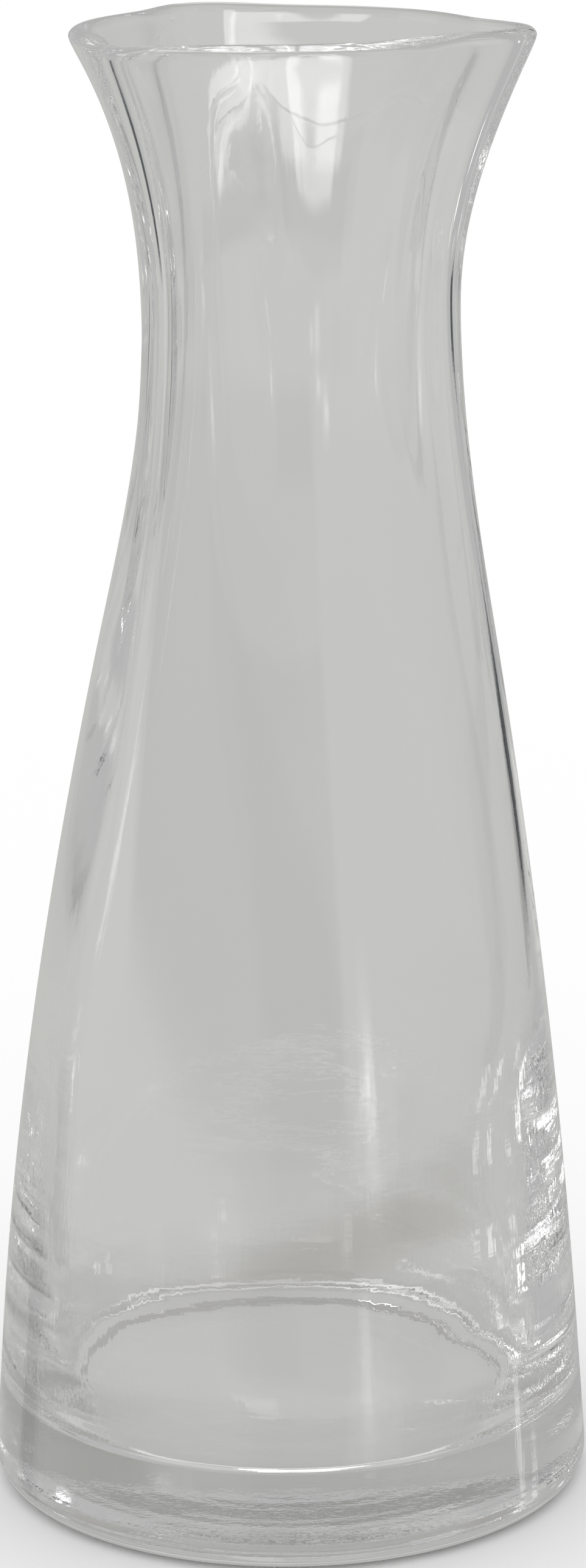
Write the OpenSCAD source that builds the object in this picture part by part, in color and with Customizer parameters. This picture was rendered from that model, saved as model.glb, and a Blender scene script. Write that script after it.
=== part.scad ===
// Water carafe of clear glass, one piece of blown and pressed glass.
// A thick solid foot carries a conical body, which draws in to a waisted neck and opens
// into a mouth with three pouring lips, a third of a turn apart.
// The body starts round. Higher up its section is a circle with three rounded corners,
// one below each pouring lip. The neck was squeezed in between the corners while it was
// soft, so its wall is thick there and thin in the corners.
// The glass is drawn as four zones, named as a glass maker names them. They meet face to
// face on level planes, where the real carafe has no joint.

/* [Overall] */
// Height from the table to the rim
height = 250; // [240:1:265]

/* [Foot] */
// Radius of the foot just above its rounded heel, the widest place
foot_r = 51.5; // [47:0.5:56]
// Lean of the foot's side from upright, in degrees
foot_lean = 4; // [1:0.5:6]
// Radius of the rounded heel between the side and the table
heel_r = 4; // [2:0.5:6]
// Width of the flat ring that the carafe stands on
ring_w = 5; // [3:0.5:9]
// Depth of the shallow recess inside the standing ring
recess_h = 1; // [0.5:0.1:2]
// Thickness of the solid glass floor
floor_h = 14; // [10:0.5:18]
// Radius of the fillet between the floor and the wall inside
floor_fillet = 3; // [2:0.5:6]
// Lean outwards of the wall inside, just above the fillet, in degrees
floor_lean = 12; // [6:1:16]
// Height of the foot above the level of the fillet's centre
foot_collar = 6; // [3:0.5:8]
// Wall where the foot meets the body
foot_wall = 6.5; // [5:0.1:8]

/* [Body] */
// Height where the thick wall of the foot has thinned to the body's own
thin_z = 72; // [60:1:90]
// Wall of the body at that height, where it is thinnest
thin_wall = 2.2; // [1.8:0.1:3]
// Height of the shoulder, where the cone turns into the neck
shoulder_z = 148; // [130:1:165]
// Outer radius of the shoulder between the corners
shoulder_side_r = 31; // [28:0.5:34]
// Outer radius of the shoulder at a corner
shoulder_corner_r = 36; // [34:0.5:39]
// Lean of the shoulder between the corners, in degrees
shoulder_side_lean = 12.5; // [9:0.5:15]
// Lean of the shoulder at a corner, in degrees
shoulder_corner_lean = 9; // [6:0.5:12]
// Wall at the shoulder between the corners
shoulder_side_wall = 4.2; // [3:0.1:5]
// Wall at the shoulder in a corner
shoulder_corner_wall = 2.4; // [1.8:0.1:3.5]

/* [Neck] */
// Height of the waist between the corners
waist_side_z = 199; // [190:1:206]
// Height of the waist at a corner
waist_corner_z = 205; // [196:1:212]
// Outer radius of the waist between the corners
waist_side_r = 23; // [20:0.5:26]
// Outer radius of the waist at a corner
waist_corner_r = 30; // [28:0.5:33]
// Wall at the waist between the corners
waist_side_wall = 5.5; // [4:0.1:6]
// Wall at the waist in a corner
waist_corner_wall = 2.8; // [2:0.1:4]

/* [Mouth] */
// Height of the mouth zone, from its lower cut to the rim
mouth_h = 28; // [20:1:34]
// Outer radius of the rim between the lips
rim_side_r = 35.5; // [32:0.5:38]
// Outer radius of the rim at the tip of a lip
rim_lip_r = 43.5; // [40:0.5:47]
// Flare of the rim between the lips, in degrees from upright
rim_side_flare = 32; // [20:1:40]
// Flare of the rim at the tip of a lip, in degrees from upright
rim_lip_flare = 25.5; // [15:0.5:35]
// Wall at the rim between the lips
rim_side_wall = 4.4; // [3.4:0.1:5]
// Wall at the rim at the tip of a lip
rim_lip_wall = 3.8; // [2.8:0.1:4.5]
// Height of the fire-polished rounding on top of the rim
rim_round = 1.8; // [1:0.1:2.5]

/* [Corners] */
// Narrowness of a corner at the shoulder: 1 is a soft swell, more is a narrower ridge
shoulder_narrow = 1.6; // [1:0.1:3]
// Narrowness of a corner at the waist
waist_narrow = 2.5; // [1.5:0.1:4]
// Narrowness of a lip at the rim
rim_narrow = 5; // [3:0.1:7]
// Narrowness of the hollow inside a corner, as a multiple of the ridge outside it
inside_narrower = 1.3; // [1:0.05:1.5]

/* [Hidden] */
// Number of pouring lips, and of the corners below them
lips = 3;
// Narrowness of a corner where it first swells out of the round foot
foot_narrow = 1;
// Sides of a section, and steps of height in each zone
around = 72;
body_steps = 14;
neck_steps = 12;
mouth_steps = 8;
// Steps in a rounding
round_steps = 8;
rim_steps = 6;
// Facets of the turned foot
$fn = 96;

// The heel ends where its arc is in line with the leaning side
heel_top_z = heel_r * (1 + sin(foot_lean));
heel_top_r = foot_r - heel_r * (1 - cos(foot_lean));
// The plane where the foot ends, and the radii of its wall there
base_top = floor_h + floor_fillet + foot_collar;
base_top_r = heel_top_r - (base_top - heel_top_z) * tan(foot_lean);
base_top_inner_r = base_top_r - foot_wall;
// The fillet ends where its arc is in line with the leaning wall inside, and the flat
// floor ends below the fillet's centre
fillet_top_z = floor_h + floor_fillet * (1 - sin(floor_lean));
fillet_top_r = base_top_inner_r - (base_top - fillet_top_z) * tan(floor_lean);
floor_r = fillet_top_r - floor_fillet * cos(floor_lean);
// Lean at which the foot's wall thins, so that the wall inside goes on in line
foot_thinning = atan(tan(foot_lean) + tan(floor_lean));
// The flat ring lies between the recess and the heel
ring_outer_r = foot_r - heel_r;
ring_inner_r = ring_outer_r - ring_w;
// The plane where the mouth starts
mouth_z = height - mouth_h;

// Points of an arc about a centre, from one angle to another
function arc(centre_r, centre_z, radius, from_deg, to_deg, steps) =
    [for (i = [0:steps])
        let (a = from_deg + (to_deg - from_deg) * i / steps)
        [centre_r + radius * cos(a), centre_z + radius * sin(a)]];

// Evenly spaced heights from one plane to another
function heights(from_z, to_z, steps) =
    [for (i = [0:steps]) from_z + (to_z - from_z) * i / steps];

// Radius on a smooth run between two stations, each with a height, a radius and a lean
// outwards in degrees
function run(z, z0, r0, lean0, z1, r1, lean1) =
    let (span = z1 - z0, t = (z - z0) / span)
    (2 * t ^ 3 - 3 * t ^ 2 + 1) * r0 + (t ^ 3 - 2 * t ^ 2 + t) * span * tan(lean0)
    + (3 * t ^ 2 - 2 * t ^ 3) * r1 + (t ^ 3 - t ^ 2) * span * tan(lean1);

// Outer radius up one line of the carafe: foot, shoulder, waist and rim
function outline(z, shoulder_r, shoulder_lean, waist_z, waist_r, rim_r, flare) =
    z < shoulder_z
    ? run(z, base_top, base_top_r, -foot_lean, shoulder_z, shoulder_r, -shoulder_lean)
    : z < waist_z
    ? run(z, shoulder_z, shoulder_r, -shoulder_lean, waist_z, waist_r, 0)
    : run(z, waist_z, waist_r, 0, height, rim_r, flare);

// Outer radius at a height, between the corners
function side_r(z) = outline(z, shoulder_side_r, shoulder_side_lean,
    waist_side_z, waist_side_r, rim_side_r, rim_side_flare);

// Outer radius at a height, along a corner
function corner_r(z) = outline(z, shoulder_corner_r, shoulder_corner_lean,
    waist_corner_z, waist_corner_r, rim_lip_r, rim_lip_flare);

// Wall up one line of the carafe, thinning smoothly from the foot
function wall_up(z, shoulder_wall, waist_z, waist_wall, rim_wall) =
    z < thin_z
    ? run(z, base_top, foot_wall, -foot_thinning, thin_z, thin_wall, 0)
    : z < shoulder_z
    ? run(z, thin_z, thin_wall, 0, shoulder_z, shoulder_wall, 0)
    : z < waist_z
    ? run(z, shoulder_z, shoulder_wall, 0, waist_z, waist_wall, 0)
    : run(z, waist_z, waist_wall, 0, height, rim_wall, 0);

// Wall at a height, between the corners
function side_wall(z) =
    wall_up(z, shoulder_side_wall, waist_side_z, waist_side_wall, rim_side_wall);

// Wall at a height, in a corner
function corner_wall(z) =
    wall_up(z, shoulder_corner_wall, waist_corner_z, waist_corner_wall, rim_lip_wall);

// Narrowness of the corners at a height
function narrow(z) = lookup(z, [[base_top, foot_narrow], [shoulder_z, shoulder_narrow],
    [waist_side_z, waist_narrow], [height, rim_narrow]]);

// How far an angle is up a corner: 1 on its ridge and 0 midway between two
function swell(a, narrowness) = ((1 + cos(lips * a)) / 2) ^ narrowness;

// One level section, as a ring of points
function ring(z, side, corner, narrowness) =
    [for (i = [0:around - 1])
        let (a = 360 * i / around, r = side + (corner - side) * swell(a, narrowness))
        [r * cos(a), r * sin(a), z]];

// The outer and the inner surface's section at a height
function outer_ring(z) = ring(z, side_r(z), corner_r(z), narrow(z));
function inner_ring(z) = ring(z, side_r(z) - side_wall(z), corner_r(z) - corner_wall(z),
    narrow(z) * inside_narrower);

// Section part of the way over the rim, from the outside, at 0, to the inside, at 180
function rim_ring(a) =
    let (
        z = height - rim_round,
        outside = outer_ring(z),
        inside = inner_ring(z),
        share = (1 - cos(a)) / 2
    )
    [for (i = [0:around - 1])
        let (p = outside[i] + (inside[i] - outside[i]) * share)
        [p.x, p.y, z + rim_round * sin(a)]];

// Closed skin over rings that go up the outside and down the inside
module skin(rings) {
    count = len(rings);
    polyhedron(
        points = [for (one = rings) each one],
        faces = [for (j = [0:count - 1], i = [0:around - 1])
            let (
                next_i = (i + 1) % around,
                next_j = (j + 1) % count,
                low = j * around + i,
                low_next = j * around + next_i,
                high = next_j * around + i,
                high_next = next_j * around + next_i
            )
            each [[low, high_next, low_next], [low, high, high_next]]],
        convexity = 6
    );
}

// Wall of the carafe between two planes
module wall(from_z, to_z, steps) {
    skin([
        for (z = heights(from_z, to_z, steps)) outer_ring(z),
        for (z = heights(to_z, from_z, steps)) inner_ring(z)
    ]);
}

// Thick solid foot: a standing ring round a shallow recess, a rounded heel, a flat
// floor and the fillet that turns up into the wall
module base() {
    color("lightblue", 0.5)
    rotate_extrude()
    polygon([
        [0, recess_h],
        [ring_inner_r - recess_h, recess_h],
        [ring_inner_r, 0],
        each arc(ring_outer_r, heel_r, heel_r, -90, foot_lean, round_steps),
        [base_top_r, base_top],
        [base_top_inner_r, base_top],
        each arc(floor_r, floor_h + floor_fillet, floor_fillet, -floor_lean, -90, round_steps),
        [0, floor_h]
    ]);
}

// Conical body, round at the foot and swelling into three corners at the shoulder
module body() {
    color("lightcyan", 0.5)
    wall(base_top, shoulder_z, body_steps);
}

// Waisted neck, squeezed in between its three corners
module neck() {
    color("paleturquoise", 0.5)
    wall(shoulder_z, mouth_z, neck_steps);
}

// Flared mouth: three pouring lips and a fire-polished rim
module mouth() {
    color("lightskyblue", 0.5)
    skin([
        for (z = heights(mouth_z, height - rim_round, mouth_steps)) outer_ring(z),
        for (i = [1:rim_steps - 1]) rim_ring(180 * i / rim_steps),
        for (z = heights(height - rim_round, mouth_z, mouth_steps)) inner_ring(z)
    ]);
}

base();
body();
neck();
mouth();
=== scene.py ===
# %% [markdown]
# A water carafe is one piece of clear glass: a thick solid foot, a conical body, a waisted
# neck and a flared mouth with three pouring lips. Clear glass has almost no colour of its
# own, so everything the eye sees in it is bent or mirrored surroundings. This lesson
# therefore spends as much care on the inside of the wall and on the studio around the glass
# as on the outline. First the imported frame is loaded: it fixes where the glass has to be.

# %% Load the frame
import math

import bpy
import numpy as np
from mathutils import Matrix, Vector


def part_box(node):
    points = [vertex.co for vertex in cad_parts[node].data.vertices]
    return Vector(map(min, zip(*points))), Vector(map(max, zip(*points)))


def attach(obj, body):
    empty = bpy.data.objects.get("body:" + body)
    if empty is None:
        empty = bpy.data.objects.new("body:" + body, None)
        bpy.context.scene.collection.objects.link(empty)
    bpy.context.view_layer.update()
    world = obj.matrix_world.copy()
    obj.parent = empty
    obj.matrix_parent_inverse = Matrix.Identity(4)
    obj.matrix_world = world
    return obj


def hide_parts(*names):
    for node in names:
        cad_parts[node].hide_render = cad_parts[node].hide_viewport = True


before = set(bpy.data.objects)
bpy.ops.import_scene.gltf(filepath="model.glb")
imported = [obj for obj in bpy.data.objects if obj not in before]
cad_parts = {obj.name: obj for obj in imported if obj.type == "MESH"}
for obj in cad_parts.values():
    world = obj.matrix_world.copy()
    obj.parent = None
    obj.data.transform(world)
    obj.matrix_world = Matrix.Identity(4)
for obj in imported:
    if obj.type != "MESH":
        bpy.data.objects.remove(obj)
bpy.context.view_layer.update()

# %% [markdown]
# The carafe's sizes are written in millimetres, as a maker would read them off a drawing,
# and one value turns them to metres. The heights and the foot's radius come from the frame,
# so the glass can't drift away from the solids that it stands for.

# %% Sizes from the frame
MM = 0.001

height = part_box("mouth")[1].z / MM
foot_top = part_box("base")[1].z / MM
shoulder_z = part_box("body")[1].z / MM
foot_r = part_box("base")[1].x / MM
print(f"carafe {height:.0f} mm high, foot {2 * foot_r:.0f} mm across")

# %% [markdown]
# The outline is made of smooth runs between a few stations. Each station has a height, a
# radius and a lean in degrees, which is how a glass maker checks a mould with a gauge.
# Between the corners the outline is slimmer than along a corner, so there are two such
# lines. Both start at the top of the foot, whose side leans inwards above a rounded heel.

# %% The two outlines
foot_lean = 4.0
heel_r = 4.0
shoulder_side_r, shoulder_side_lean = 31.0, 12.5
shoulder_corner_r, shoulder_corner_lean = 36.0, 9.0
waist_side_z, waist_side_r = 199.0, 23.0
waist_corner_z, waist_corner_r = 205.0, 30.0
rim_side_r, rim_side_flare = 35.5, 32.0
rim_lip_r, rim_lip_flare = 43.5, 25.5

heel_top_z = heel_r * (1 + math.sin(math.radians(foot_lean)))
heel_top_r = foot_r - heel_r * (1 - math.cos(math.radians(foot_lean)))
foot_top_r = heel_top_r - (foot_top - heel_top_z) * math.tan(math.radians(foot_lean))


def run(z, low_z, low_r, low_lean, high_z, high_r, high_lean):
    """Radius on a smooth run between two stations, with leans outwards in degrees."""
    span = high_z - low_z
    t = (z - low_z) / span
    start, end = math.tan(math.radians(low_lean)), math.tan(math.radians(high_lean))
    return ((2 * t**3 - 3 * t**2 + 1) * low_r + (t**3 - 2 * t**2 + t) * span * start
            + (3 * t**2 - 2 * t**3) * high_r + (t**3 - t**2) * span * end)


def outline(z, shoulder_r, shoulder_lean, waist_z, waist_r, rim_r, flare):
    """Outer radius up one line of the carafe."""
    if z < shoulder_z:
        return run(z, foot_top, foot_top_r, -foot_lean, shoulder_z, shoulder_r, -shoulder_lean)
    if z < waist_z:
        return run(z, shoulder_z, shoulder_r, -shoulder_lean, waist_z, waist_r, 0)
    return run(z, waist_z, waist_r, 0, height, rim_r, flare)


def side_r(z):
    """Outer radius half way between two corners."""
    return outline(z, shoulder_side_r, shoulder_side_lean,
                   waist_side_z, waist_side_r, rim_side_r, rim_side_flare)


def corner_r(z):
    """Outer radius along a corner."""
    return outline(z, shoulder_corner_r, shoulder_corner_lean,
                   waist_corner_z, waist_corner_r, rim_lip_r, rim_lip_flare)


print(f"waist: {side_r(waist_side_z):.1f} mm between corners, "
      f"{corner_r(waist_corner_z):.1f} in one")

# %% [markdown]
# The wall is listed by height, once between the corners and once in a corner. The neck was
# squeezed in between its corners while it was soft, so its wall is thick there and thin in
# the corners. Above the foot the outside leans inwards and the inside leans outwards, and
# the two leans together say how fast the wall thins at first.

# %% The wall
floor_lean = 12.0
foot_wall = 6.5
thin_z, thin_wall = 72.0, 2.2
side_walls = {thin_z: thin_wall, shoulder_z: 4.2, waist_side_z: 5.5, height: 4.4}
corner_walls = {thin_z: thin_wall, shoulder_z: 2.4, waist_corner_z: 2.8, height: 3.8}
foot_thinning = math.degrees(math.atan(
    math.tan(math.radians(foot_lean)) + math.tan(math.radians(floor_lean))))


def wall(z, stations):
    """Wall at a height: thick at the foot, then on smooth runs between the stations."""
    if z < thin_z:
        return run(z, foot_top, foot_wall, -foot_thinning, thin_z, thin_wall, 0)
    levels = list(stations)
    for low, high in zip(levels, levels[1:]):
        if z <= high:
            return run(z, low, stations[low], 0, high, stations[high], 0)
    return stations[levels[-1]]


print(f"wall at the shoulder: {wall(shoulder_z, side_walls):.1f} mm between corners, "
      f"{wall(shoulder_z, corner_walls):.1f} in one")

# %% [markdown]
# A level section swells from the slim line out to a corner and back, three times round. A
# cosine raised to a power does that. The power is 1 at the foot, which gives a broad and
# faint swell, and it rises to 5 at the rim, which draws the swell into a narrow lip. Inside,
# the corners are a little narrower than outside.

# %% The level section
lips = 3
mid_side = math.pi / lips
corner_narrowness = {foot_top: 1.0, shoulder_z: 1.6, waist_side_z: 2.5, height: 5.0}
inside_narrower = 1.3


def section_r(z, angle, inside):
    """Radius of the level section at a height and an angle, outside or inside."""
    side, corner = side_r(z), corner_r(z)
    narrowness = float(np.interp(z, list(corner_narrowness), list(corner_narrowness.values())))
    if inside:
        side -= wall(z, side_walls)
        corner -= wall(z, corner_walls)
        narrowness *= inside_narrower
    swell = ((1 + math.cos(lips * angle)) / 2) ** narrowness
    return side + (corner - side) * swell


print(f"rim: {section_r(height, 0, False):.1f} mm at a lip, "
      f"{section_r(height, mid_side, False):.1f} between two")

# %% [markdown]
# A lathe would turn this shape from a half section spun about the axis, and Blender's spin
# does the same. The half section is drawn along the slim line between two corners; the
# corners are pushed out afterwards. It is a chain of straight stretches and arcs, so two
# helpers come first: one for even steps and one for an arc.

# %% Even steps and arcs
round_steps = 8


def evenly(start, end, step):
    """Values from start to end, about a step apart."""
    count = max(1, round(abs(end - start) / step))
    return [start + (end - start) * i / count for i in range(count + 1)]


def arc(centre_r, centre_z, radius, from_deg, to_deg):
    """Points of an arc, as pairs of radius and height."""
    step = abs(to_deg - from_deg) / round_steps
    angles = [math.radians(degrees) for degrees in evenly(from_deg, to_deg, step)]
    return [(centre_r + radius * math.cos(a), centre_z + radius * math.sin(a)) for a in angles]


print("a rounding is drawn in", round_steps, "steps")

# %% [markdown]
# The outside runs from the middle of the underside to the rim. The carafe stands on a flat
# ring, and inside the ring the underside lies a millimetre higher, so that it stands steady
# on a table that isn't quite flat.

# %% Half section of the outside
row_step = 4.0
ring_w, ring_step = 5.0, 1.5
recess_h = 1.0
foot_side_steps = 5
rim_round = 1.8

ring_outer_r = foot_r - heel_r
ring_inner_r = ring_outer_r - ring_w
rim_top_z = height - rim_round

underside = [(r, recess_h) for r in evenly(0, ring_inner_r - recess_h, row_step)]
standing_ring = [(r, 0) for r in evenly(ring_inner_r, ring_outer_r, ring_step)[:-1]]
heel = arc(ring_outer_r, heel_r, heel_r, -90, foot_lean)
foot_side = [(heel_top_r + (foot_top_r - heel_top_r) * t, heel_top_z + (foot_top - heel_top_z) * t)
             for t in evenly(0, 1, 1 / foot_side_steps)[1:-1]]
outside = [(section_r(z, mid_side, False), z) for z in evenly(foot_top, rim_top_z, row_step)]
print("foot from", len(underside + standing_ring + heel + foot_side), "points, the rest of",
      "the outside from", len(outside))

# %% [markdown]
# The section goes on over the rim, which fire-polishing has rounded, and down the inside to
# the middle of the floor. The inside of the lower body gets closer rows, because ripples
# will be pressed into it. A fillet joins the leaning inside to the level floor.

# %% Half section of the rim and the inside
floor_h = 14.0
floor_fillet = 3.0
close_row_step = 2.0
ripple_top_z = 88.0

rim_out = section_r(rim_top_z, mid_side, False)
rim_in = section_r(rim_top_z, mid_side, True)
rim_mid, rim_half = (rim_out + rim_in) / 2, (rim_out - rim_in) / 2
fillet_top_z = floor_h + floor_fillet * (1 - math.sin(math.radians(floor_lean)))
fillet_top_r = (foot_top_r - foot_wall
                - (foot_top - fillet_top_z) * math.tan(math.radians(floor_lean)))
floor_r = fillet_top_r - floor_fillet * math.cos(math.radians(floor_lean))

rim = [(rim_mid + rim_half * math.cos(a), rim_top_z + rim_round * math.sin(a))
       for a in evenly(0, math.pi, math.pi / round_steps)[1:-1]]
inside_levels = (evenly(rim_top_z, ripple_top_z, row_step)
                 + evenly(ripple_top_z, foot_top, close_row_step)[1:])
inside = [(section_r(z, mid_side, True), z) for z in inside_levels]
fillet = arc(floor_r, floor_h + floor_fillet, floor_fillet, -floor_lean, -90)
floor = [(r, floor_h) for r in evenly(floor_r, 0, row_step)[1:]]

half_section = (underside + standing_ring + heel + foot_side + outside
                + rim + inside + fillet + floor)
print(len(half_section), "points in the half section")

# %% [markdown]
# The half section is drawn the way it is drawn by hand: a plane is merged to one vertex,
# which is moved to the first point and then extruded to the next one again and again.

# %% Draw the half section
def deselect_all():
    """Leaves nothing selected, so that the next operator acts on new things alone."""
    for one in bpy.context.selected_objects:
        one.select_set(False)


deselect_all()
bpy.ops.mesh.primitive_plane_add(size=MM, location=(0, 0, 0))
carafe = bpy.context.object
carafe.name = carafe.data.name = "carafe_glass"
bpy.ops.object.mode_set(mode="EDIT")
bpy.ops.mesh.select_all(action="SELECT")
bpy.ops.mesh.merge(type="CENTER")
section_points = [Vector((r, 0, z)) * MM for r, z in half_section]
bpy.ops.transform.translate(value=section_points[0])
for here, there in zip(section_points, section_points[1:]):
    bpy.ops.mesh.extrude_vertices_move(TRANSFORM_OT_translate={"value": there - here})
bpy.ops.object.mode_set(mode="OBJECT")
print("half section:", len(carafe.data.vertices), "vertices")

# %% [markdown]
# Then it is spun once round. The two ends of the spin and the poles are merged, and the
# normals are turned outwards, because a spin can leave them inside out.

# %% Spin the blank
around = 120
merge_within = 0.01

bpy.ops.object.mode_set(mode="EDIT")
bpy.ops.mesh.select_all(action="SELECT")
bpy.ops.mesh.spin(steps=around, angle=2 * math.pi, center=(0, 0, 0), axis=(0, 0, 1))
bpy.ops.mesh.select_all(action="SELECT")
bpy.ops.mesh.remove_doubles(threshold=merge_within * MM)
bpy.ops.mesh.normals_make_consistent(inside=False)
bpy.ops.object.mode_set(mode="OBJECT")
print("blank:", len(carafe.data.vertices), "vertices,", len(carafe.data.polygons), "faces")

# %% [markdown]
# Glass that is pressed and blown is never quite even. Its inside cools first at the two
# sides where the plunger wandered, which are the left and the right in the photograph, and
# more so at the right. There the wall of the lower body is thicker than it was drawn. Front
# and back stay as they were drawn, so the floor's edge is seen as a clean ellipse.

# %% Thicker wall at two sides
view_turn = math.radians(9.3)
thick_both, thick_one = 1.6, 0.9
thick_full_z, thick_fade_z = 42.0, 58.0


def ease(value, low, high):
    """0 below low, 1 above high, and smooth between."""
    t = min(1.0, max(0.0, (value - low) / (high - low)))
    return t * t * (3 - 2 * t)


def extra_wall(z, angle):
    """Glass that the uneven wall has more than the even one, in mm."""
    across = math.cos(angle - view_turn)
    fade = ease(z, foot_top, thick_full_z) * (1 - ease(z, thick_fade_z, ripple_top_z))
    return (thick_both * across**2 + thick_one * across) * fade


print(f"wall at {thick_full_z:.0f} mm: {wall(thick_full_z, side_walls):.1f} mm in front, "
      f"{wall(thick_full_z, side_walls) + thick_both + thick_one:.1f} at the thick side")

# %% [markdown]
# Shallow chill ripples run round the inside, close together. They are strongest at the same
# two sides and fade out further up. They rise and fall by less than a tenth of a millimetre,
# but they bend the light strongly and make the dashes that sparkle in the lower corners. A
# few waves, each with a whole number of swings in one turn, let a ripple wander up and down
# on its way round.

# %% Chill ripples
ripple_depth, ripple_pitch = 0.07, 6.5
ripple_fading = 1.5
smooth_share = 0.15
# how far a ripple wanders, how often in one turn, and where the swing starts
wanderings = ((0.9, 2, 1), (0.5, 5, 0), (0.4, 9, 2))


def ripple(z, angle):
    """Height of the chill ripples on the inside, in mm."""
    across = abs(math.cos(angle - view_turn))
    depth = ripple_depth * (smooth_share + (1 - smooth_share) * across)
    depth *= ((ripple_top_z - z) / (ripple_top_z - foot_top)) ** ripple_fading
    wander = sum(far * math.sin(often * angle + start) for far, often, start in wanderings)
    return depth * math.sin(2 * math.pi * z / ripple_pitch + wander)


print(f"ripples rise and fall by {ripple_depth} mm and are {ripple_pitch} mm apart")

# %% [markdown]
# The blank is round all the way up. On the real carafe the mould and the lip tool push out
# three corners, a third of a turn apart, which start as a faint swell above the foot and
# end as the pouring lips. Each vertex is moved straight out to the section's radius at its
# own height and angle. A vertex inside the rim's rounding keeps its share of the wall. The
# unevenness goes in with the same move, because it only shifts the inner surface.

# %% Push out the three corners
on_inside = 0.99

points = np.zeros(len(carafe.data.vertices) * 3)
carafe.data.vertices.foreach_get("co", points)
points = points.reshape(-1, 3)
for point in points:
    radius, z = math.hypot(point[0], point[1]) / MM, min(point[2] / MM, rim_top_z)
    if z < foot_top:
        continue
    angle = math.atan2(point[1], point[0])
    slim_out, slim_in = section_r(z, mid_side, False), section_r(z, mid_side, True)
    share = (slim_out - radius) / (slim_out - slim_in)
    out, into = section_r(z, angle, False), section_r(z, angle, True)
    target = out + (into - out) * share
    if share > on_inside and z < ripple_top_z:
        target += ripple(z, angle) - extra_wall(z, angle)
    point[:2] *= target / radius
carafe.data.vertices.foreach_set("co", points.ravel())
carafe.data.update()
above_waist = points[points[:, 2] > waist_corner_z * MM]
reach = np.hypot(above_waist[:, 0], above_waist[:, 1]).max() / MM
print(f"a lip reaches {reach:.1f} mm from the axis")

# %% [markdown]
# Fire-polished glass has no edges and no flats, so the mesh is shaded smooth and gets one
# level of subdivision, which also rounds the rim and the heel. The modifier is applied at
# once: light is bent by the true surface, and the mesh itself should hold it too.

# %% Smooth the glass
deselect_all()
carafe.select_set(True)
bpy.context.view_layer.objects.active = carafe
bpy.ops.object.shade_smooth()
smoothing = carafe.modifiers.new("smooth_glass", "SUBSURF")
smoothing.levels = smoothing.render_levels = 1
bpy.ops.object.modifier_apply(modifier=smoothing.name)
print("finished glass:", 2 * len(carafe.data.polygons), "triangles")

# %% [markdown]
# A material is a tree of nodes. Two small helpers come first: one turns an sRGB hex colour,
# as a colour chart gives it, to the linear values that a renderer works in, and one adds a
# node, sets its properties and fills its inputs, each with a value or with a link from
# another node.

# %% Helpers for materials
def linear(hex_colour):
    """An sRGB hex colour as linear red, green, blue and alpha."""
    parts = [int(hex_colour[i:i + 2], 16) / 255 for i in (0, 2, 4)]
    return tuple(part / 12.92 if part <= 0.04045 else ((part + 0.055) / 1.055) ** 2.4
                 for part in parts) + (1.0,)


def add_node(tree, kind, settings=None, inputs=None):
    """Adds a node, sets its properties, and gives each input a value or a link."""
    node = tree.nodes.new(kind)
    for name, value in (settings or {}).items():
        setattr(node, name, value)
    for name, value in (inputs or {}).items():
        if isinstance(value, bpy.types.NodeSocket):
            tree.links.new(value, node.inputs[name])
        else:
            node.inputs[name].default_value = value
    return node


print("the grey 808080 is", round(linear("808080")[0], 3), "in linear values")

# %% [markdown]
# Soda-lime glass bends light with an index of 1.52. It is fire-polished, so it has no
# roughness at all, and so clear that no tint is seen, so its colour is white.

# %% Clear soda-lime glass
glass = bpy.data.materials.new("soda_lime_glass_fire_polished")
glass.use_nodes = True
tree = glass.node_tree
shader = tree.nodes["Principled BSDF"]
shader.inputs["Base Color"].default_value = linear("FFFFFF")
shader.inputs["Roughness"].default_value = 0.0
shader.inputs["IOR"].default_value = 1.52
shader.inputs["Transmission Weight"].default_value = 1.0
carafe.data.materials.clear()
carafe.data.materials.append(glass)
print("index of refraction:", round(shader.inputs["IOR"].default_value, 2))

# %% [markdown]
# Polished glass still isn't perfectly flat, and the marks that its making left differ from
# zone to zone. All are a few hundredths of a millimetre deep at most, far too shallow to
# model, but they make mirrored lamps waver, and that is what tells blown glass from a
# computer's perfect one. Each mark is a pattern on Object coordinates, whose height is added
# to the height so far. First come the zones, each given by the height up to which its marks
# are full and the height at which they are gone.

# %% Zones of the marks
low_zone, heel_zone, under_zone = (60.0, 105.0), (5.0, 9.0), (1.5, 3.0)

place = add_node(tree, "ShaderNodeTexCoord").outputs["Object"]
level = add_node(tree, "ShaderNodeSeparateXYZ", inputs={"Vector": place}).outputs["Z"]
everywhere = 1.0
low_down, on_heel, underneath = (
    add_node(tree, "ShaderNodeMapRange", {"interpolation_type": "SMOOTHSTEP"}, {
        "Value": level, "From Min": gone_z * MM, "From Max": full_z * MM}).outputs[0]
    for full_z, gone_z in (low_zone, heel_zone, under_zone))


def press(relief, pattern, depth, zone):
    """Adds a pattern of a depth in mm, where its zone says so, to the height so far."""
    part = add_node(tree, "ShaderNodeMath", {"operation": "MULTIPLY"}, {0: pattern, 1: zone})
    return add_node(tree, "ShaderNodeMath", {"operation": "MULTIPLY_ADD"}, {
        0: part.outputs[0], 1: depth * MM, 2: relief}).outputs[0]


print("marks low down fade out from", low_zone[0], "to", low_zone[1], "mm")

# %% [markdown]
# The glass was drawn upwards while it was soft, which leaves streaks some millimetres wide
# and several times as long, over a fine mottle. Low down, the plunger's chill adds broad
# waves, narrow streaks and flat folds. All are noise: its scale comes from the width of one
# grain, and a Mapping node stretches it upwards or flattens it.

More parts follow.
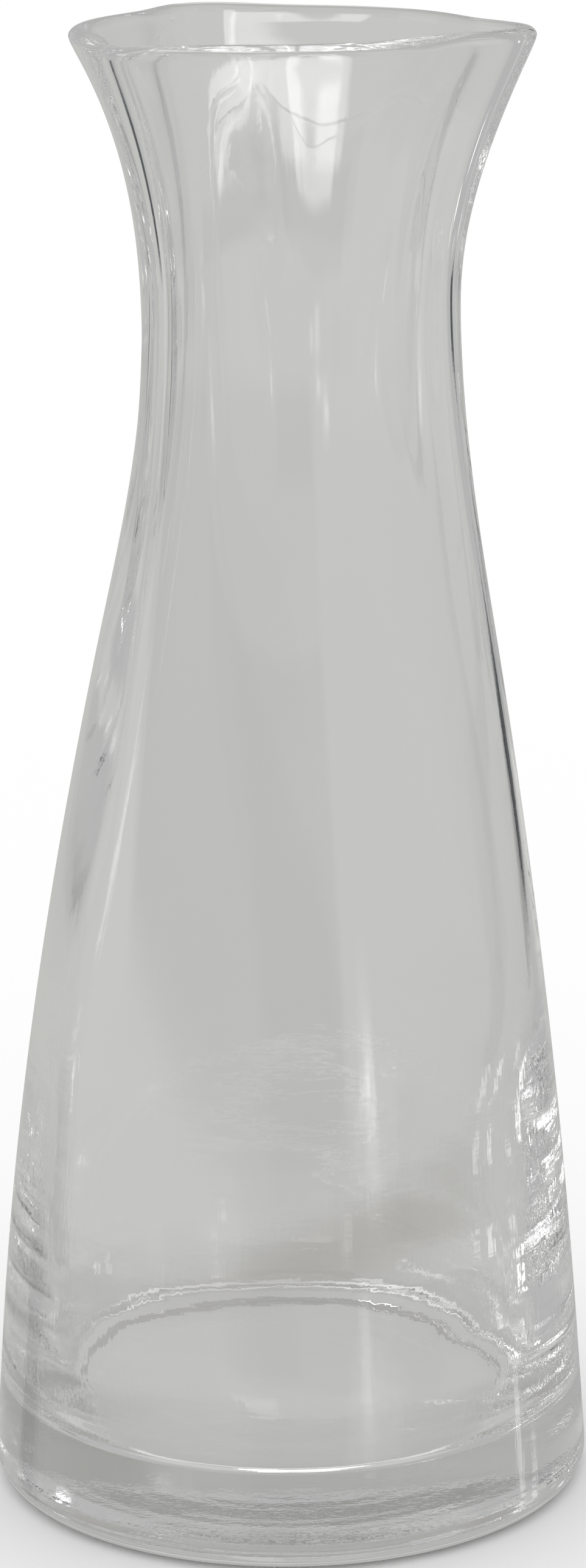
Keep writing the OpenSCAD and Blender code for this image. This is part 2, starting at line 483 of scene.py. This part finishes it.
# %% Streaks and folds
grains = {
    # width in mm, times as high as wide, detail, depth in mm, zone
    "drawn streaks": (4.0, 8.0, 3.0, 0.012, everywhere),
    "fine mottle": (1.5, 1.0, 2.0, 0.003, everywhere),
    "broad waves": (12.0, 2.0, 0.0, 0.030, low_down),
    "narrow streaks": (1.0, 8.0, 1.0, 0.010, low_down),
    "flat folds": (7.0, 0.2, 1.0, 0.010, low_down),
}

relief = 0.0
for name, (width, stretch, detail, depth, zone) in grains.items():
    drawn = add_node(tree, "ShaderNodeMapping", inputs={
        "Vector": place, "Scale": (1.0, 1.0, 1 / stretch)})
    grain = add_node(tree, "ShaderNodeTexNoise", {"label": name}, {
        "Vector": drawn.outputs[0], "Scale": 1 / (width * MM), "Detail": detail})
    relief = press(relief, grain.outputs[0], depth, zone)
print("glass:", len(tree.nodes), "nodes with", len(grains), "kinds of grain")

# %% [markdown]
# The mould was turned on a lathe. Its tool left level marks on the heel and wider rings
# under the foot, which a wave texture draws. At a scale of 1 that texture repeats every
# tenth of pi, so the scale follows from the marks' real pitch. A slow wander keeps the marks
# from being perfect circles. One bump then turns the whole relief into slopes. The relief is
# in metres, so the bump's strength and distance stay 1.

# %% Turned marks and the bump
wave_period = math.pi / 10
wander_detail, wander_scale = 1.0, 0.2
turned_marks = {
    # kind of wave, pitch in mm, wander, depth in mm, zone
    "marks on the heel": ("BANDS", 1.3, 4.0, 0.010, on_heel),
    "rings underneath": ("RINGS", 5.0, 3.0, 0.008, underneath),
}

for name, (kind, pitch, wander, depth, zone) in turned_marks.items():
    wave = add_node(tree, "ShaderNodeTexWave", {
        "label": name, "wave_type": kind, "bands_direction": "Z", "rings_direction": "Z"}, {
        "Vector": place, "Scale": wave_period / (pitch * MM), "Distortion": wander,
        "Detail": wander_detail, "Detail Scale": wander_scale})
    relief = press(relief, wave.outputs["Fac"], depth, zone)
bump = add_node(tree, "ShaderNodeBump", inputs={
    "Height": relief, "Strength": 1.0, "Distance": 1.0})
tree.links.new(bump.outputs[0], shader.inputs["Normal"])
print("glass:", len(tree.nodes), "nodes in all")

# %% [markdown]
# The four solids of the frame are zones of one piece of glass. Where two solids of glass
# touch, a renderer would draw their hidden faces as mirrors, so one unbroken mesh stands for
# all four. It rides on the frame's only body.

# %% Stand for the four zones
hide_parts("base", "body", "neck", "mouth")
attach(carafe, "root")
print("carafe_glass rides on root")

# %% [markdown]
# The camera looks slightly down on the carafe through a long lens that keeps the sides of
# the neck nearly parallel. Its place was found by matching the carafe's outline: foot,
# shoulder, waist and rim. Pitch, yaw and roll are in radians, and the focal length is given
# in pixels of the photograph, as such a match gives it.

# %% Camera
camera_distance = 804.1
camera_height = 330.1
camera_pitch = 0.2533
camera_yaw = 0.0017
camera_roll = -0.0088
focal_px, frame_px = 8047, 2576
sensor = 36.0
nearest, farthest = 50.0, 50000.0

lens = bpy.data.cameras.new("camera")
lens.sensor_width = sensor
lens.lens = sensor * focal_px / frame_px
lens.clip_start, lens.clip_end = nearest * MM, farthest * MM
camera = bpy.data.objects.new("camera", lens)
bpy.context.scene.collection.objects.link(camera)
bpy.context.scene.camera = camera
aim = Matrix.Rotation(-camera_yaw, 4, "Z") @ Matrix.Rotation(math.pi / 2 - camera_pitch, 4, "X")
aim = aim @ Matrix.Rotation(camera_roll, 4, "Z")
stand = Matrix.Translation((0, -camera_distance * MM, camera_height * MM))
camera.matrix_world = Matrix.Rotation(view_turn, 4, "Z") @ stand @ aim
print(f"lens {lens.lens:.0f} mm, {camera_distance:.0f} mm in front")

# %% [markdown]
# The carafe stands on white paper, which takes the soft shadow of the foot. Seen through the
# glass the paper would be just as white, and the glass would vanish, so a photographer
# closes in on glass with grey boards. Here the paper is hidden from rays that have been
# through glass or off it, and the world shows them a studio from every side.

# %% Paper under the carafe
paper_r = 1200.0
disc_sides = 96

deselect_all()
bpy.ops.mesh.primitive_circle_add(vertices=disc_sides, radius=paper_r * MM, fill_type="NGON",
                                  location=(0, 0, 0))
table = bpy.context.object
table.name = "table"
paper = bpy.data.materials.new("white_paper")
paper.use_nodes = True
tree = paper.node_tree
tree.nodes.clear()
white = add_node(tree, "ShaderNodeBsdfDiffuse", inputs={"Color": linear("FFFFFF")})
add_node(tree, "ShaderNodeOutputMaterial", inputs={"Surface": white.outputs[0]})
table.data.materials.append(paper)
table.visible_glossy = False
table.visible_transmission = False
print(f"paper: {2 * paper_r:.0f} mm across")

# %% [markdown]
# The studio is painted on the world by direction: how far a direction is turned from the
# camera's side, in degrees to the right, and how far up it points. The world has no size, so
# what the glass mirrors depends on direction alone, and a lamp is only a bright panel. Rays
# find the panels by themselves, so the world isn't sampled as a lamp.

# %% Directions in the studio
world = bpy.data.worlds.new("studio")
bpy.context.scene.world = world
world.cycles.sampling_method = "NONE"
world.use_nodes = True
tree = world.node_tree
tree.nodes.clear()

direction = add_node(tree, "ShaderNodeTexCoord").outputs["Generated"]
facing = add_node(tree, "ShaderNodeVectorRotate", {"rotation_type": "Z_AXIS"}, {
    "Vector": direction, "Angle": math.pi / 2 - view_turn})
axes = add_node(tree, "ShaderNodeSeparateXYZ", inputs={"Vector": facing.outputs[0]})
turn = add_node(tree, "ShaderNodeMath", {"operation": "ARCTAN2"}, {
    0: axes.outputs["Y"], 1: axes.outputs["X"]})
turn = add_node(tree, "ShaderNodeMath", {"operation": "DEGREES"}, {0: turn.outputs[0]}).outputs[0]
up = add_node(tree, "ShaderNodeMath", {"operation": "ARCSINE"}, {0: axes.outputs["Z"]})
up = add_node(tree, "ShaderNodeMath", {"operation": "DEGREES"}, {0: up.outputs[0]}).outputs[0]
print("world:", len(tree.nodes), "nodes for the two angles")

# %% [markdown]
# Each panel covers a range of turns and a range of heights, with soft edges, and is laid
# over the panels before it. One helper gives a soft range, and one lays a set of panels.

# %% Helpers for panels
all_round = (-200, 200)


def between(tree, value, low, high, soft):
    """1 where the value lies between low and high, with soft edges."""
    past_low, past_high = (
        add_node(tree, "ShaderNodeMapRange", {"interpolation_type": "SMOOTHSTEP"}, {
            "Value": value, "From Min": edge - soft, "From Max": edge + soft}).outputs[0]
        for edge in (low, high))
    return add_node(tree, "ShaderNodeMath", {"operation": "SUBTRACT"}, {
        0: past_low, 1: past_high}).outputs[0]


def lay_panels(tree, colour, panels):
    """Lays panels, each at its turns and its heights, over the colour so far."""
    for name, (hex_colour, strength, turns, ups, soft) in panels.items():
        covered = add_node(tree, "ShaderNodeMath", {"operation": "MULTIPLY"}, {
            0: between(tree, turn, *turns, soft), 1: between(tree, up, *ups, soft)})
        glow = [part * strength for part in linear(hex_colour)[:3]] + [1.0]
        colour = add_node(tree, "ShaderNodeMixRGB", {"label": name}, {
            "Fac": covered.outputs[0], "Color1": colour, "Color2": glow}).outputs[0]
    return colour


print("a panel that goes all round reaches from", all_round[0], "to", all_round[1], "degrees")

# %% [markdown]
# Grey walls close the glass in, and they are darkest half way up. Below the horizon is the
# table, a little paler, with a lit patch on the camera's side and a painted shadow beyond it.

# %% Walls and table
walls_and_table = {
    # colour, strength, turns and heights in degrees, softness of the edges
    "walls above the horizon": ("ADADAB", 1.0, all_round, (10, 90), 3.0),
    "darker upper walls": ("A4A3A0", 1.0, all_round, (32, 62), 4.0),
    "dark wall behind on the right": ("9C9C99", 1.0, (98, 160), (13, 30), 6.0),
    "table behind on the left": ("C2C2BF", 1.0, (-180, -105), (-22, -5), 3.0),
    "table in front": ("C8C8C6", 1.0, (-100, 100), (-90, -40), 6.0),
    "lit patch of the table": ("FFFFFF", 1.1, (-35, 50), (-78, -52), 6.0),
    "brightest part of the patch": ("FFFFFF", 2.2, (-34, -8), (-78, -58), 4.0),
    # painted shadow: a dim strip laid across the table, beyond its lit patch
    "painted shadow across the table": ("808284", 1.0, (-28, 8), (-48, -22), 4.0),
}
studio = lay_panels(tree, linear("B4B5B4"), walls_and_table)
print("world:", len(tree.nodes), "nodes with walls and table")

# %% [markdown]
# In front and on the left the room is nearly black about the horizon, which draws the dark
# lines along the neck. Pale boards stand below and beside it on the left, and grey ones in
# front and on the right.

# %% Boards and the dark room
boards = {
    "pale board in front on the left": ("DCDCDA", 1.0, (-112, -18), (-20, -4), 4.0),
    "pale board on the left": ("DCDCDA", 1.0, (-112, -78), (-10, 14), 3.0),
    "grey board in front": ("949698", 1.0, (-12, 37), (-22, -4), 4.0),
    "grey board in front on the right": ("8A8C8E", 1.0, (42, 62), (-14, -5), 3.0),
    "dark room": ("1C1E20", 1.0, (-76, 27), (-4, 13), 2.0),
}
studio = lay_panels(tree, studio, boards)
print("world:", len(tree.nodes), "nodes with the boards")

# %% [markdown]
# One softbox stands high on the left and makes the bright patch inside the mouth. A slim
# lamp with a bright core stands in front on the right, with a small low one beside it. Four
# slits on the right and behind, each a few degrees wide, light the ripples: a small bright
# source gives each ripple a crisp dash, where a large one would wash it out.

# %% Lamps and slits
lamps = {
    "softbox": ("FFFFFF", 4.5, (-56, -38), (8, 36), 3.0),
    "slim lamp": ("FFFFFF", 1.4, (33, 38), (-6, 2), 2.0),
    "core of the slim lamp": ("FFFFFF", 3.5, (35, 38), (-3, 0), 1.5),
    "low lamp": ("FFFFFF", 2.0, (28, 32), (-14, -9), 1.5),
    "first slit": ("FFFFFF", 2.6, (98, 101), (-19, -16), 1.0),
    "second slit": ("FFFFFF", 3.2, (107, 110), (-21, -18), 1.0),
    "third slit": ("FFFFFF", 1.6, (122, 125), (-23, -20), 1.0),
    "fourth slit": ("FFFFFF", 2.8, (133, 138), (-28, -25), 1.0),
}
studio = lay_panels(tree, studio, lamps)
print("world:", len(tree.nodes), "nodes with the lamps")

# %% [markdown]
# Clear glass also needs something dark to mirror, or its edges get lost. Two dark gaps
# behind, one on each side, give it thin dark lines. A pale board stands between them.

# %% Board and gaps behind
behind_carafe = {
    "pale board behind": ("C6C6C4", 1.0, (154, 200), (-17, -10), 2.0),
    "dark gap behind on the right": ("3A3C3E", 1.0, (132, 150), (-11, -7), 0.8),
    "dark gap behind on the left": ("3A3E42", 1.0, (-130, -118), (-28, -14), 3.0),
}
studio = lay_panels(tree, studio, behind_carafe)
print("world:", len(tree.nodes), "nodes with the whole studio")

# %% [markdown]
# Rays that go straight through both walls see the backdrop, which gives the body its even
# grey. It is palest about the horizon and grows darker towards the table, so that the floor
# comes out darker than the body. It is dimmer higher up, and has one bright band low down.

# %% The backdrop
backdrop_bands = {
    "backdrop above the table": ("C4C4C2", 1.0, all_round, (-33, 100), 6.0),
    "palest part": ("C8C8C6", 1.0, all_round, (-16, 100), 8.0),
    "bright band low down": ("F0F0EE", 1.0, all_round, (-62, -50), 3.0),
    "dim top": ("A8A8A8", 1.0, all_round, (6, 100), 4.0),
}
backdrop = lay_panels(tree, linear("B6B6B4"), backdrop_bands)
print("world:", len(tree.nodes), "nodes with the backdrop")

# %% [markdown]
# What a ray sees depends on what it has been through. The camera's own rays, and the light
# that falls on the paper, get plain white at a strength of 1. A ray that went straight
# through the walls sees the backdrop. A ray that was mirrored, once or more, inside the
# glass or off it, sees the studio. Glossy Depth counts those mirrorings.

# %% What each ray sees
def is_mirrored_ray(tree):
    """1 for a ray that was mirrored at least once on its way, and 0 for any other."""
    path = add_node(tree, "ShaderNodeLightPath")
    return add_node(tree, "ShaderNodeMath", {"operation": "GREATER_THAN"}, {
        0: path.outputs["Glossy Depth"], 1: 0.5}).outputs[0]


path = add_node(tree, "ShaderNodeLightPath")
is_glass_ray = add_node(tree, "ShaderNodeMath", {"operation": "MAXIMUM"}, {
    0: path.outputs["Is Glossy Ray"], 1: path.outputs["Is Transmission Ray"]})
in_glass = add_node(tree, "ShaderNodeMixRGB", inputs={
    "Fac": is_mirrored_ray(tree), "Color1": backdrop, "Color2": studio})
seen = add_node(tree, "ShaderNodeMixRGB", inputs={
    "Fac": is_glass_ray.outputs[0], "Color1": linear("FFFFFF"), "Color2": in_glass.outputs[0]})
light = add_node(tree, "ShaderNodeBackground", inputs={"Color": seen.outputs[0], "Strength": 1.0})
add_node(tree, "ShaderNodeOutputWorld", inputs={"Surface": light.outputs[0]})
print("world:", len(tree.nodes), "nodes in all")

# %% [markdown]
# The carafe keeps some light off the paper behind it. The camera sees the soft shadow that
# the renderer draws by itself, but the glass can't, because the paper is hidden from it. So
# a disc that only the glass can see lies just under the paper, clear but for its shade.

# %% Disc behind the foot
shade_right, shade_behind = 20.0, 88.0
shade_long, shade_wide = 96.0, 28.0
disc_r = 2 * (shade_behind + shade_wide)
disc_drop = 0.05

deselect_all()
bpy.ops.mesh.primitive_circle_add(vertices=disc_sides, radius=disc_r * MM, fill_type="NGON",
                                  location=(0, 0, -disc_drop * MM))
shade = bpy.context.object
shade.name = "shade_behind_foot"
shade.visible_camera = False
shade.visible_diffuse = False
shade.visible_shadow = False
print(f"disc {2 * disc_r:.0f} mm across, {disc_drop} mm under the foot")

# %% [markdown]
# Seen straight through the back wall, the shade is a soft smudge behind the foot, a little
# to the right. A Mapping node turns it and stretches it to an ellipse, and it fades out from
# near its middle to its edge.

# %% Smudge seen straight through
shade_turn = math.radians(46)
smudge_core, smudge_edge = 0.1, 1.0

shaded_paper = bpy.data.materials.new("shaded_paper")
shaded_paper.use_nodes = True
tree = shaded_paper.node_tree
tree.nodes.clear()
spot = add_node(tree, "ShaderNodeTexCoord").outputs["Object"]
smudge_at = Matrix.Rotation(view_turn, 3, "Z") @ Vector((shade_right, shade_behind, 0)) * MM
in_smudge = add_node(tree, "ShaderNodeMapping", {"vector_type": "TEXTURE"}, {
    "Vector": spot, "Location": smudge_at, "Rotation": (0, 0, view_turn + shade_turn),
    "Scale": (shade_long * MM, shade_wide * MM, 1)})
from_middle = add_node(tree, "ShaderNodeVectorMath", {"operation": "LENGTH"}, {
    0: in_smudge.outputs[0]}).outputs["Value"]
smudge = add_node(tree, "ShaderNodeMapRange", {"interpolation_type": "SMOOTHSTEP"}, {
    "Value": from_middle, "From Min": smudge_edge, "From Max": smudge_core}).outputs[0]
print(f"smudge {shade_behind:.0f} mm behind the axis")

# %% [markdown]
# Mirrored in the underside of the foot, the shade is a narrow line round the foot, and only
# on the far side of it. It is a ring about the axis, faded in by how far a spot lies behind
# the axis.

# %% Line seen in the foot
line_in, line_out, line_soft = 61.5, 67.0, 1.5
line_from, line_full = 25.0, 55.0

from_axis = add_node(tree, "ShaderNodeVectorMath", {"operation": "LENGTH"}, {
    0: spot}).outputs["Value"]
on_ring = between(tree, from_axis, line_in * MM, line_out * MM, line_soft * MM)
straight_back = Matrix.Rotation(view_turn, 3, "Z") @ Vector((0, 1, 0))
behind = add_node(tree, "ShaderNodeVectorMath", {"operation": "DOT_PRODUCT"}, {
    0: spot, 1: straight_back}).outputs["Value"]
far_side = add_node(tree, "ShaderNodeMapRange", {"interpolation_type": "SMOOTHSTEP"}, {
    "Value": behind, "From Min": line_from * MM, "From Max": line_full * MM}).outputs[0]
line = add_node(tree, "ShaderNodeMath", {"operation": "MULTIPLY"}, {
    0: far_side, 1: on_ring}).outputs[0]
print(f"line {line_in} to {line_out} mm from the axis")

# %% [markdown]
# A mirrored ray gets the line and any other ray gets the smudge, each in its own grey. Where
# there is neither, the disc is clear. Input 0 of a Mix node is its factor, and 2 and 3 are
# the two values that it mixes.

# %% Shade for each kind of ray
mirrored = is_mirrored_ray(tree)
shaded = add_node(tree, "ShaderNodeMix", inputs={0: mirrored, 2: smudge, 3: line})
tone = add_node(tree, "ShaderNodeMixRGB", inputs={
    "Fac": mirrored, "Color1": linear("B0AEAA"), "Color2": linear("949492")})
dark = add_node(tree, "ShaderNodeEmission", inputs={"Color": tone.outputs[0], "Strength": 1.0})
clear = add_node(tree, "ShaderNodeBsdfTransparent")
either = add_node(tree, "ShaderNodeMixShader", inputs={
    0: shaded.outputs[0], 1: clear.outputs[0], 2: dark.outputs[0]})
add_node(tree, "ShaderNodeOutputMaterial", inputs={"Surface": either.outputs[0]})
shade.data.materials.append(shaded_paper)
print("shaded paper:", len(tree.nodes), "nodes")

# %% [markdown]
# Light that is caught in thick glass is mirrored many times before it gets out. Cut off too
# early it would leave dark spots, so the number of bounces is raised. Colours are shown as
# they are written, with the Standard view.

# %% Bounces and view
most_bounces = 128

cycles = bpy.context.scene.cycles
cycles.max_bounces = most_bounces
cycles.glossy_bounces = most_bounces
cycles.transmission_bounces = most_bounces
bpy.context.scene.view_settings.view_transform = "Standard"
print("light bounces up to", most_bounces, "times")
